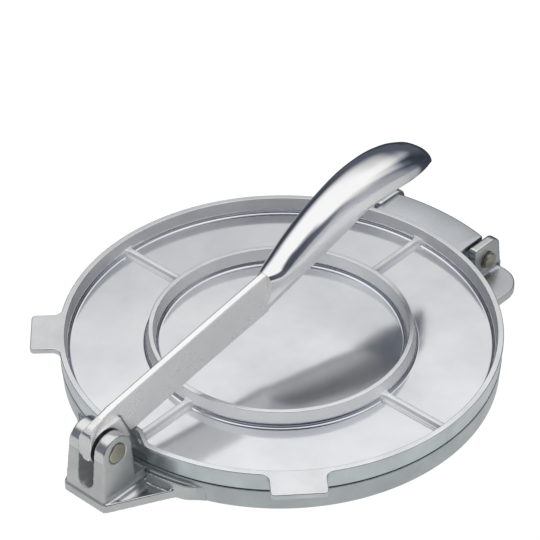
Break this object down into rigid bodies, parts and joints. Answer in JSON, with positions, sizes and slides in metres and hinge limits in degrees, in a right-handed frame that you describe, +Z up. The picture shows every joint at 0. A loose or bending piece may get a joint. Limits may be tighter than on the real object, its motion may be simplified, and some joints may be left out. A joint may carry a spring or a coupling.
{
  "type": "tortilla press",
  "caption": "Cast aluminium tortilla press: round base and ribbed top plate hinged on a rod, squeezed by a cam lever with a domed grip.",
  "frame": {"origin": "centre of the base plate's underside, in the plane of the table", "axes": "+Z up, -Y towards the clevis and the lever's pivot, +Y towards the rear hinge, X along both hinge axes"},
  "size_m": [0.204, 0.2518, 0.0791],
  "materials": {
    "cast_base": "as cast and tumbled, satin",
    "cast_top": "cast, polished floor and rim",
    "polished_lever": "satin bar, mirror-polished grip",
    "steel_pin": "yellow-passivated bright steel"
  },
  "bodies": {
    "base": {"base_plate": "cast_base", "lever_pin": "steel_pin", "hinge_rod": "steel_pin"},
    "top": {"top_plate": "cast_top"},
    "lever": {"lever": "polished_lever"}
  },
  "joints": [
    {"name": "lever_pivot", "type": "hinge", "parent": "base", "child": "lever", "pos_m": [0, -0.1167, 0.0263], "axis": [1, 0, 0], "range_deg": [0, 170]},
    {"name": "plate_hinge", "type": "hinge", "parent": "base", "child": "top", "pos_m": [0, 0.112, 0.0112], "axis": [-1, 0, 0], "range_deg": [0, 110]}
  ],
  "couplings": [
    {"joint": "plate_hinge", "follows": "lever_pivot", "ratio": 0.065}
  ]
}
